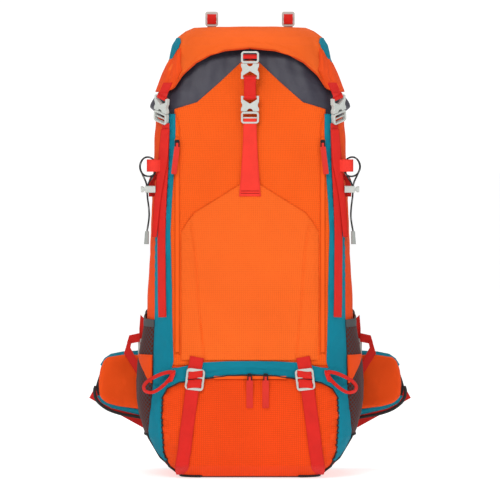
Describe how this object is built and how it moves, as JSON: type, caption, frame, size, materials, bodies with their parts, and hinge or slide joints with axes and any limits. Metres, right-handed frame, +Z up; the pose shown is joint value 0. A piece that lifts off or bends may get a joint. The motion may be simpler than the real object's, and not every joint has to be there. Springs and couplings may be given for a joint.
{
  "type": "hiking backpack",
  "caption": "Tall top-loading trekking pack with lift-up hood, front zips, base compartment, side pockets, padded harness and hip belt.",
  "frame": {"origin": "centre line of the pack on its base's lower face, where it stands", "axes": "+Z up, -Y towards the outer front, +Y towards the wearer, +X to the right seen from the front"},
  "size_m": [0.5512, 0.362, 0.7805],
  "materials": {
    "front_fabric": "woven",
    "lid_fabric": "woven",
    "side_fabric": "woven",
    "dark_fabric": "coated",
    "teal_fabric": "woven",
    "mesh": "mesh",
    "back_padding": "foam",
    "frame_plastic": "smooth",
    "aluminium": "satin",
    "red_webbing": "webbing",
    "tab_webbing": "webbing",
    "grey_plastic": "satin",
    "elastic": "braided",
    "steel": "wire",
    "zip_tape": "tape",
    "zip_metal": "satin",
    "red_pull": "webbing",
    "hip_fabric": "woven",
    "wing_padding": "foam"
  },
  "bodies": {
    "pack": {"front_panel": "front_fabric", "left_side_panel": "side_fabric", "right_side_panel": "side_fabric", "base_tray": "dark_fabric", "lower_front_panel": "front_fabric", "yoke_arch": "teal_fabric", "collar": "dark_fabric", "divider": "dark_fabric", "back_panel": "back_padding", "frame_sheet": "frame_plastic", "frame_stays": "aluminium", "left_side_pocket": "mesh", "right_side_pocket": "mesh", "zip_tracks": "zip_tape", "front_tab": "tab_webbing", "front_middle_strap": "red_webbing", "front_buckles": "grey_plastic", "side_frames": "grey_plastic", "left_side_strap": "red_webbing", "right_side_strap": "red_webbing", "base_straps": "red_webbing", "stabiliser_tails": "red_webbing", "ladderlocks": "grey_plastic", "gear_loops": "red_webbing", "cord_ends": "grey_plastic", "left_pole_cord": "elastic", "right_pole_cord": "elastic", "left_cord_lock": "grey_plastic", "right_cord_lock": "grey_plastic", "left_lock_spring": "steel", "right_lock_spring": "steel", "left_shoulder_strap": "back_padding", "right_shoulder_strap": "back_padding", "harness_webbing": "red_webbing", "sternum_bars": "grey_plastic", "lumbar_pad": "back_padding"},
    "hood": {"lid": "lid_fabric", "lid_buckles": "grey_plastic", "lid_webbing": "red_webbing", "lid_zip": "zip_tape"},
    "front_left_slider": {"front_left_slider": "zip_metal"},
    "front_left_pull": {"front_left_pull": "red_pull"},
    "base_left_slider": {"base_left_slider": "zip_metal"},
    "base_left_pull": {"base_left_pull": "red_pull"},
    "left_lock_button": {"left_lock_button": "grey_plastic"},
    "left_hip_wing": {"left_hip_wing": "wing_padding", "left_hip_pocket": "hip_fabric", "left_hip_webbing": "red_webbing", "left_hip_buckle": "grey_plastic"},
    "left_chest_half": {"left_sternum_strap": "grey_plastic"},
    "front_right_slider": {"front_right_slider": "zip_metal"},
    "front_right_pull": {"front_right_pull": "red_pull"},
    "base_right_slider": {"base_right_slider": "zip_metal"},
    "base_right_pull": {"base_right_pull": "red_pull"},
    "right_lock_button": {"right_lock_button": "grey_plastic"},
    "right_hip_wing": {"right_hip_wing": "wing_padding", "right_hip_pocket": "hip_fabric", "right_hip_webbing": "red_webbing", "right_hip_buckle": "grey_plastic"},
    "right_chest_half": {"right_sternum_strap": "grey_plastic"}
  },
  "joints": [
    {"name": "hood_hinge", "type": "hinge", "parent": "pack", "child": "hood", "pos_m": [0, 0.11, 0.7], "axis": [-1, 0, 0], "range_deg": [0, 95]},
    {"name": "front_left_zip", "type": "slide", "parent": "pack", "child": "front_left_slider", "axis": [0, -0.0288, -0.9996], "range_m": [0, 0.32]},
    {"name": "front_left_pull_hinge", "type": "hinge", "parent": "front_left_slider", "child": "front_left_pull", "pos_m": [-0.121, -0.12667, 0.55817], "axis": [-1, 0, 0], "range_deg": [0, 170]},
    {"name": "base_left_zip", "type": "slide", "parent": "pack", "child": "base_left_slider", "axis": [-1, 0, 0], "range_m": [0, 0.048]},
    {"name": "base_left_pull_hinge", "type": "hinge", "parent": "base_left_slider", "child": "base_left_pull", "pos_m": [-0.0005, -0.13894, 0.17], "axis": [-1, 0, 0], "range_deg": [0, 170]},
    {"name": "left_lock_press", "type": "slide", "parent": "pack", "child": "left_lock_button", "axis": [1, 0, 0], "range_m": [0, 0.0035], "stiffness_N_per_m": 300, "springref_m": -0.002, "deforming": ["left_lock_spring"]},
    {"name": "left_wing_hinge", "type": "hinge", "parent": "pack", "child": "left_hip_wing", "pos_m": [-0.096, 0.138, 0.146], "axis": [0, 0, -1], "range_deg": [0, 75]},
    {"name": "left_chest_hinge", "type": "hinge", "parent": "pack", "child": "left_chest_half", "pos_m": [-0.035, 0.206, 0.48], "axis": [0, 0, 1], "range_deg": [0, 100]},
    {"name": "front_right_zip", "type": "slide", "parent": "pack", "child": "front_right_slider", "axis": [0, -0.0288, -0.9996], "range_m": [0, 0.32]},
    {"name": "front_right_pull_hinge", "type": "hinge", "parent": "front_right_slider", "child": "front_right_pull", "pos_m": [0.121, -0.12667, 0.55817], "axis": [-1, 0, 0], "range_deg": [0, 170]},
    {"name": "base_right_zip", "type": "slide", "parent": "pack", "child": "base_right_slider", "axis": [1, 0, 0], "range_m": [0, 0.026]},
    {"name": "base_right_pull_hinge", "type": "hinge", "parent": "base_right_slider", "child": "base_right_pull", "pos_m": [0.026, -0.13894, 0.17], "axis": [-1, 0, 0], "range_deg": [0, 170]},
    {"name": "right_lock_press", "type": "slide", "parent": "pack", "child": "right_lock_button", "axis": [-1, 0, 0], "range_m": [0, 0.0035], "stiffness_N_per_m": 300, "springref_m": -0.002, "deforming": ["right_lock_spring"]},
    {"name": "right_wing_hinge", "type": "hinge", "parent": "pack", "child": "right_hip_wing", "pos_m": [0.096, 0.138, 0.146], "axis": [0, 0, 1], "range_deg": [0, 75]},
    {"name": "right_chest_hinge", "type": "hinge", "parent": "pack", "child": "right_chest_half", "pos_m": [0.035, 0.206, 0.48], "axis": [0, 0, -1], "range_deg": [0, 100]}
  ]
}
